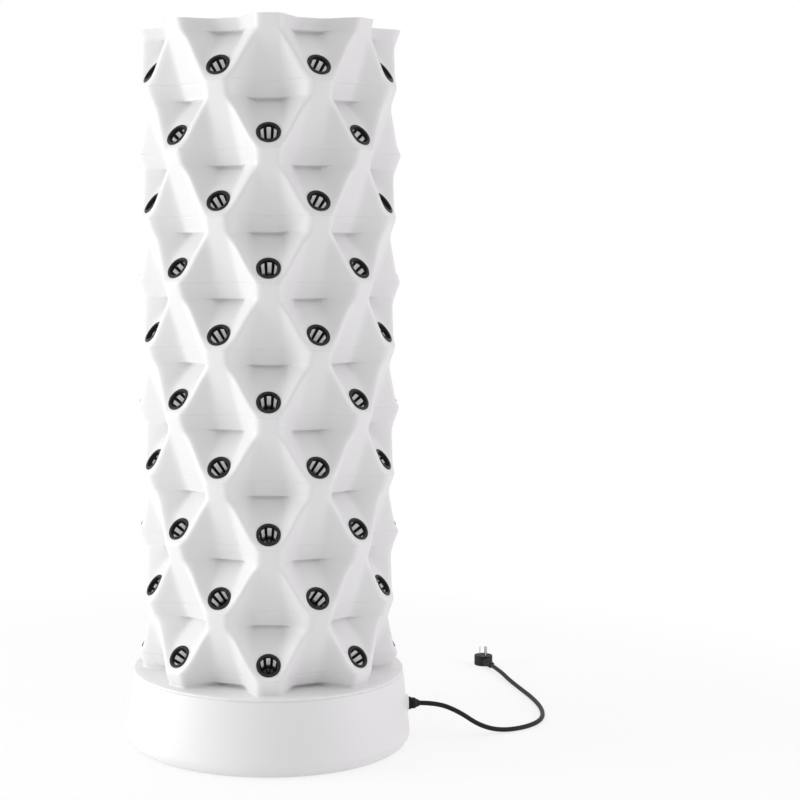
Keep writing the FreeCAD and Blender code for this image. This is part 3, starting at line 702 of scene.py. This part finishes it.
class PLANTER_OT_sections(bpy.types.Operator):
    """Make the growing sections with their holes and sleeves"""
    bl_idname = "planter.sections"
    bl_label = "Growing sections"

    def execute(self, context):
        scene = context.scene
        facets = Facets(scene.section_sizes)
        finishes = scene.finishes
        white = white_plastic(finishes)
        # The sleeves give off a weak glow of painted light, standing in for the light in the pockets
        sleeve_with_painted_glow = moulded("white_sleeve_painted_glow", finishes.white, 0.5, bump=0.10, grain=700,
                               glow=finishes.painted_sleeve_glow)
        middle, top = (growing_section(facets, scene.section_sizes, scene.cup_sizes, is_top)
                       for is_top in (False, True))
        for layer in range(layers):
            wall, sleeves = top if layer == layers - 1 else middle
            place = Matrix.Translation((0, 0, cup_height(scene.section_sizes, layer)))
            place = place @ Matrix.Rotation(layer % 2 * facets.step, 4, "Z")
            part = placed(join_parts([wall, sleeves]), place)
            number = "%02d" % (layer + 1)
            piece = add_piece("growing_section_" + number, part, white, "tower",
                              ["section_" + number])
            piece.data.materials.append(sleeve_with_painted_glow)
            for face in piece.data.polygons[len(wall[1]):]:
                face.material_index = 1
        return {"FINISHED"}


class PLANTER_OT_cups(bpy.types.Operator):
    """Make the net cups"""
    bl_idname = "planter.cups"
    bl_label = "Net cups"

    def execute(self, context):
        sizes = context.scene.section_sizes
        black = moulded("black_cup", context.scene.finishes.black, 0.42, bump=0.14, grain=1400, shade=0.2,
                        specular=0.3)
        cup = net_cup(context.scene.cup_sizes)
        chance, most_turned = random.Random(5), 0.12
        for layer in range(layers):
            number = "%02d" % (layer + 1)
            shapes = []
            for pocket in range(sizes.pockets):
                own_turn = Matrix.Rotation(chance.uniform(-most_turned, most_turned), 4, "Z")
                shapes.append(placed(cup, cup_matrix(sizes, layer, pocket) @ own_turn))
            add_piece("lift_cup_" + number, shapes[0], black, "cup_" + number,
                      ["net_cup_lift_" + number])
            add_piece("row_of_cups_" + number, join_parts(shapes[1:]), black, "tower",
                      ["net_cups_" + number])
        return {"FINISHED"}


class PLANTER_OT_tank(bpy.types.Operator):
    """Make the water tank and its lid"""
    bl_idname = "planter.tank"
    bl_label = "Water tank"

    def execute(self, context):
        scene = context.scene
        material = white_plastic(scene.finishes)
        shell = join_parts([self.shell(scene.tank_sizes), self.gland_pad(scene.tank_sizes, scene.lead_sizes)])
        add_piece("tank_shell", shell, material, "tower", ["water_tank"])
        lid = self.lid(scene.section_sizes, scene.tank_sizes)
        add_piece("lid_with_collar", lid, material, "tower", ["tank_lid"])
        return {"FINISHED"}

    def shell(self, tank):
        """The tank's wall and floor."""
        wall, widest, top = tank.wall, tank.widest_radius, tank.top_radius
        rim, middle = lid_low.z - tank.rim_gap, 0.02
        profile = rounded([
            (middle, 0), (tank.foot_radius, 0), (widest, tank.widest_height), (top, rim), (top - wall, rim),
            (widest - wall, tank.widest_height), (tank.foot_radius - wall, wall), (middle, wall),
        ], tank.corner, 8)
        return turned([(0, 0)] + profile + [(0, wall)], 192)

    def gland_pad(self, tank, lead):
        """The flat pad on the wall, under the gland's flange."""
        face = flange_high.x - lead.gland_flange
        back = face - tank.pad_thickness
        pad = turned(rounded([(0, back), (tank.pad_radius, back), (tank.pad_radius, face), (0, face)],
                             0.0012), 48)
        return placed(pad, lie_along_x())

    def lid(self, sizes, tank):
        """The lid with its collar: down the collar, out over the lid, round its edge and up the inside."""
        facets = Facets(sizes)
        row_height = cup_height(sizes, -1)
        top, face, rim = facets.high, lid_face(), lid_low.z
        outer, edge, fillet = tank.top_radius, tank.lid_edge, tank.collar_fillet
        rows = []
        outside = [(top, sizes.seam_depth), (top - sizes.seam_width, 0)]
        outside += [(top - drop, 0) for drop in (0.005, 0.010, 0.015)]
        outside += [(facets.fold + over * tank.foot_reach, 0) for over in foot_rows]
        for height, pull in outside:
            angles = column_angles(facets, height)
            back = pull + foot_gap(facets, tank, angles, height - facets.fold)
            rows.append((angles, facets.soft_radius(angles, height) - back, row_height + height))
        angles, foot, _ = rows[-1]
        rows.append((angles, foot + 0.0006, face + 0.0007))
        for share in (0, 0.2, 0.5, 0.8):
            rows.append((angles, foot + fillet + (outer - edge - foot - fillet) * share, face))
        turns = [k / 3 * math.pi / 2 for k in range(4)]
        circles = [(outer - edge + edge * math.sin(turn), face - edge + edge * math.cos(turn))
                   for turn in turns]
        circles += [(outer, rim + tank.rim_gap), (outer - tank.rim_gap, rim), (tank.lid_opening, rim),
                    (tank.lid_opening, face)]
        rows += [(angles, np.full(len(angles), radius), height) for radius, height in circles]
        inner_foot = facets.fold + 0.003
        for height in (inner_foot, facets.fold + 1.5 * tank.foot_reach, top):
            inner = facets.soft_radius(angles, height) - sizes.wall
            if height == inner_foot:
                inner = inner - foot_gap(facets, tank, angles, 0)
                rows.append((angles, inner, face))
            rows.append((angles, inner, row_height + height))
        return skin_rows([tower_ring(a + facets.step, r, z) for a, r, z in rows], closed=True)


def lie_along_x():
    """A shape made round the Z axis, laid along +X at the gland's height."""
    return Matrix.Translation((0, 0, gland_height)) @ Matrix.Rotation(math.pi / 2, 4, "Y")


class PLANTER_OT_cover(bpy.types.Operator):
    """Make the top cover with its knob"""
    bl_idname = "planter.cover"
    bl_label = "Top cover"

    def execute(self, context):
        sizes, cover = context.scene.section_sizes, context.scene.cover_sizes
        facets = Facets(sizes)
        face = cover_high.z - cover.knob_height
        foot = face - cover.thickness
        level = cover_low.z - cup_height(sizes, layers - 1)
        angles = column_angles(facets, level)
        outline = facets.soft_radius(angles, level) - sizes.wall - cover.gap
        knob_foot = np.full(len(angles), cover.knob_radius + 0.004)
        rows = [(outline * 0.02, foot), (outline - 0.0006, foot), (outline, foot + 0.0006),
                (outline, face - 0.001), (outline - 0.0004, face - 0.0003), (outline - 0.0012, face),
                (outline * 0.6, face), (knob_foot, face)]
        turn = (layers - 1) % 2 * facets.step
        rings = [tower_ring(angles + turn, radii, height) for radii, height in rows]
        plate = skin_rows([[(0, 0, foot)]] + rings + [[(0, 0, face)]])
        top, radius = cover_high.z, cover.knob_radius
        profile = rounded([(radius + 0.003, face - 0.0005), (radius, face + 0.001), (radius, top),
                           (0.0005, top)], cover.knob_rounding)
        knob = turned(profile + [(0, top)], 48)
        add_piece("cover_plate", join_parts([plate, knob]), white_plastic(context.scene.finishes), "cover",
                  ["top_cover"])
        return {"FINISHED"}


class PLANTER_OT_water_parts(bpy.types.Operator):
    """Give the parts that carry the water their finishes"""
    bl_idname = "planter.water_parts"
    bl_label = "Tray, riser and pump"

    def execute(self, context):
        finishes = context.scene.finishes
        white = white_plastic(finishes)
        pipe = moulded("white_pipe", finishes.pipe, 0.34, bump=0.05, grain=500)
        fitting = moulded("grey_fitting", finishes.fitting, 0.42, bump=0.10)
        pump = moulded("pump_body", finishes.pump, 0.45, bump=0.25, grain=1300, shade=0.2)
        for node, material in (
                ("drip_tray", white), ("spray_cap", fitting), ("riser_lower", pipe), ("riser_upper", pipe),
                ("riser_coupling", fitting), ("pump_housing", pump), ("pump_strainer", pump),
                ("pump_shaft", moulded("steel_pin", finishes.metal, 0.22, bump=0.03, metallic=1.0)),
                ("pump_impeller", moulded("impeller_plastic", finishes.impeller, 0.40)),
                ("pump_feet", moulded("soft_foot", finishes.lead, 0.62, bump=0.2)),
                ("gland_locknut", lead_plastic(finishes))):
            paint(node, material)
        return {"FINISHED"}


def paint(node, material):
    """A CAD node in a finer material."""
    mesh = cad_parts[node].data
    mesh.materials.clear()
    mesh.materials.append(material)


class PLANTER_OT_lead(bpy.types.Operator):
    """Make the mains lead with its gland and plug"""
    bl_idname = "planter.lead"
    bl_label = "Mains lead"

    def execute(self, context):
        sizes, finishes = context.scene.lead_sizes, context.scene.finishes
        black = lead_plastic(finishes)
        curve = bpy.data.curves.new("mains_lead", "CURVE")
        curve.dimensions = "3D"
        spline = curve.splines.new("NURBS")
        spline.points.add(len(cord_route) - 1)
        for point, place in zip(spline.points, cord_route):
            point.co = (*place, 1)
        spline.order_u = 3
        spline.use_endpoint_u = True
        spline.resolution_u = 12
        curve.bevel_depth = sizes.diameter / 2
        curve.bevel_resolution = 5
        curve.use_fill_caps = True
        curve.materials.append(black)
        lead = new_object("mains_lead", curve)
        dress(lead, "tower", ["power_cord"])
        gland = self.gland(sizes, black)
        plug = self.plug(sizes, black, finishes)
        return {"FINISHED"}

    def gland(self, sizes, black):
        """The gland's barrel and flange, the fluted nut and the tapered relief round the lead."""
        base, foot, end = flange_high.x, nut_low.x, nut_high.x
        flange = (flange_high.z - flange_low.z) / 2
        nut, relief = (nut_high.z - nut_low.z) / 2, sizes.relief_radius
        edge = base - sizes.gland_flange
        barrel = turned(rounded([
            (0, flange_low.x), (sizes.gland_thread, flange_low.x), (sizes.gland_thread, edge),
            (flange, edge), (flange, base), (0, base)], 0.0008), 48)
        angles = round_angles(96)
        flutes = np.clip(np.cos(angles * sizes.nut_flutes), -0.3, 0.6)
        rows = []
        # Rings over the nut and its relief: radius, height and how much of the flutes they show
        for radius, height, depth in (
                (nut - 0.0007, foot, 1), (nut, foot + 0.0007, 1), (nut, foot + 0.0068, 1),
                (nut - 0.0004, foot + 0.0078, 0.6), (nut - 0.0014, foot + 0.0086, 0),
                (relief + 0.0016, foot + 0.0118, 0), (relief + 0.0005, end - 0.0008, 0), (relief, end, 0)):
            rows.append(ring(angles, radius - 0.0005 * depth * (0.6 - flutes), height))
        cap = skin_rows([[(0, 0, foot)]] + rows + [[(0, 0, end)]])
        part = join_parts([placed(shape, lie_along_x()) for shape in (barrel, cap)])
        return add_piece("cable_gland", part, black, "tower", ["gland_body", "gland_nut"])

    def plug(self, sizes, black, finishes):
        """The round plug on its back, and the neck with its grooves; the pins are the frame's own."""
        paint("plug_pins", moulded("metal_pins", finishes.metal, 0.25, bump=0.04, metallic=1.0))
        thick = plug_high.z - plug_low.z
        dish = thick - sizes.plug_dish
        radius, neck = sizes.plug_radius, sizes.plug_neck
        disc = turned(rounded([
            (0, 0), (radius, 0), (radius, thick), (0.88 * radius, thick), (0.86 * radius, dish),
            (0, dish)], sizes.plug_rounding), 72)
        rows = []
        steps, inside, taper, squareness = 30, 0.004, 0.7, 0.55
        turns = round_angles(32)
        across, up = (np.sign(wave) * np.abs(wave) ** squareness for wave in (np.cos(turns), np.sin(turns)))
        for k in range(steps + 1):
            share = k / steps
            grooved = share > 0.45 and k % 4 in (1, 2) and k < steps - 1
            groove = sizes.neck_groove if grooved else 0
            wide, tall = (between(*halves, share ** taper) - groove for halves in (neck_widths, neck_heights))
            x = -(radius - inside) - (neck + inside - 0.0004) * share
            rows.append(np.stack([np.full(len(turns), x), wide * across, lead_end_height + tall * up], 1))
        near, far = ([(row[0][0], 0, lead_end_height)] for row in (rows[0], rows[-1]))
        boot = flipped(skin_rows([near] + rows + [far]))
        before, end = (Vector(point) for point in cord_route[-2:])
        onward = (end - before).normalized()
        middle = end + onward * (radius + neck)
        place = Matrix.Translation((middle.x, middle.y, 0))
        place = place @ Matrix.Rotation(math.atan2(onward.y, onward.x), 4, "Z")
        part = join_parts([placed(disc, place), placed(boot, place)])
        housing = add_piece("mains_plug", part, black, "tower", ["plug_body"])
        return [housing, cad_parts["plug_pins"]]


class PLANTER_OT_stage(bpy.types.Operator):
    """Set the camera, the lights and the floor"""
    bl_idname = "planter.stage"
    bl_label = "Camera, lights and floor"

    def execute(self, context):
        scene = context.scene
        camera = bpy.data.cameras.new("camera")
        camera.lens = camera_lens
        camera.sensor_width = camera_sensor
        camera.shift_x = camera_shift
        camera.clip_end = camera_reach
        stand = new_object("camera", camera)
        stand.location = camera_place
        stand.rotation_euler = (math.radians(90 - camera_tilt), 0, 0)
        scene.camera = stand
        for name, (place, power, tint) in windows.items():
            self.lamp(name, place, power, tint)
        self.world(scene)
        self.floor(scene)
        scene.view_settings.view_transform = "Standard"
        return {"FINISHED"}

    def lamp(self, name, place, power, tint):
        """A round window beside the tower."""
        light = bpy.data.lights.new(name, "AREA")
        light.color = tint
        light.shape = "DISK"
        light.size = window_size
        light.energy = power
        lamp = new_object(name, light)
        lamp.location = place
        lamp.rotation_euler = (Vector(window_aim) - Vector(place)).to_track_quat("-Z", "Y").to_euler()

    def seen_directly(self, tree):
        """1 for what the camera, a reflection or a clear piece sees, and 0 for scattered light."""
        path = add_node(tree, "LightPath").outputs
        seen = maths(tree, "MAXIMUM", path["Is Camera Ray"], path["Is Glossy Ray"])
        return maths(tree, "MAXIMUM", seen, path["Is Transmission Ray"])

    def world(self, scene):
        """Soft light from above, in a world that the camera and reflections see as white."""
        world = bpy.data.worlds.new("daylight")
        tree = empty_tree(world)
        place = add_node(tree, "TexCoord")
        split = add_node(tree, "SeparateXYZ", {0: place.outputs["Generated"]})
        sky = add_node(tree, "MapRange", {
            "From Min": sky_from, "From Max": sky_to, "To Max": sky_light, "Value": split.outputs["Z"]})
        strength = add_node(tree, "MapRange", {
            "To Min": sky.outputs["Result"], "To Max": 1.0, "Value": self.seen_directly(tree)})
        back = add_node(tree, "Background", {
            "Color": (1, 1, 1, 1), "Strength": strength.outputs["Result"]})
        add_node(tree, "OutputWorld", {"Surface": back.outputs[0]})
        scene.world = world

    def floor(self, scene):
        """A pale floor that fades into the white background away from the tower."""
        floor = mesh_object("floor", turned([(radius, 0) for radius in (0, *floor_radii)], 64))
        material = bpy.data.materials.new("pale_floor")
        tree = empty_tree(material)
        place = add_node(tree, "TexCoord")
        reach = add_node(tree, "VectorMath", {0: place.outputs["Object"]}, operation="LENGTH")
        fade = add_node(tree, "MapRange", {
            "From Min": fade_from, "From Max": fade_to, "To Min": least_white,
            "Value": reach.outputs["Value"]})
        paler = maths(tree, "MULTIPLY", self.seen_directly(tree), scene.finishes.floor_haze)
        ground = add_node(tree, "BsdfPrincipled", {
            "Base Color": (*scene.finishes.floor, 1), "Roughness": 0.8})
        white = add_node(tree, "Emission")
        mix = add_node(tree, "MixShader", {
            "Fac": maths(tree, "MAXIMUM", fade.outputs["Result"], paler), 1: ground.outputs["BSDF"],
            2: white.outputs["Emission"]})
        add_node(tree, "OutputMaterial", {"Surface": mix.outputs["Shader"]})
        floor.data.materials.append(material)


operators = (
    PLANTER_OT_stage, PLANTER_OT_lead, PLANTER_OT_sections, PLANTER_OT_cups, PLANTER_OT_tank,
    PLANTER_OT_cover, PLANTER_OT_water_parts,
)
sizes_and_colours = (
    ("section_sizes", SectionSizes), ("cup_sizes", CupSizes), ("tank_sizes", TankSizes),
    ("cover_sizes", CoverSizes), ("lead_sizes", LeadSizes), ("finishes", Finishes),
)


class VIEW3D_PT_planter(bpy.types.Panel):
    """The planter tower's pieces"""
    bl_label = "Planter tower"
    bl_space_type = "VIEW_3D"
    bl_region_type = "UI"
    bl_category = "Planter tower"

    def draw(self, context):
        for operator in operators:
            self.layout.operator(operator.bl_idname)
        for name, group in sizes_and_colours:
            box = self.layout.box()
            for key in group.__annotations__:
                box.prop(getattr(context.scene, name), key)


def register():
    for name, group in sizes_and_colours:
        bpy.utils.register_class(group)
        setattr(bpy.types.Scene, name, PointerProperty(type=group))
    for operator in operators:
        bpy.utils.register_class(operator)
    bpy.utils.register_class(VIEW3D_PT_planter)


def unregister():
    bpy.utils.unregister_class(VIEW3D_PT_planter)
    for operator in reversed(operators):
        bpy.utils.unregister_class(operator)
    for name, group in reversed(sizes_and_colours):
        delattr(bpy.types.Scene, name)
        bpy.utils.unregister_class(group)


def main():
    register()
    bpy.ops.planter.stage()
    bpy.ops.planter.lead()
    bpy.ops.planter.sections()
    bpy.ops.planter.cups()
    bpy.ops.planter.tank()
    bpy.ops.planter.cover()
    bpy.ops.planter.water_parts()


if __name__ == "__main__":
    main()
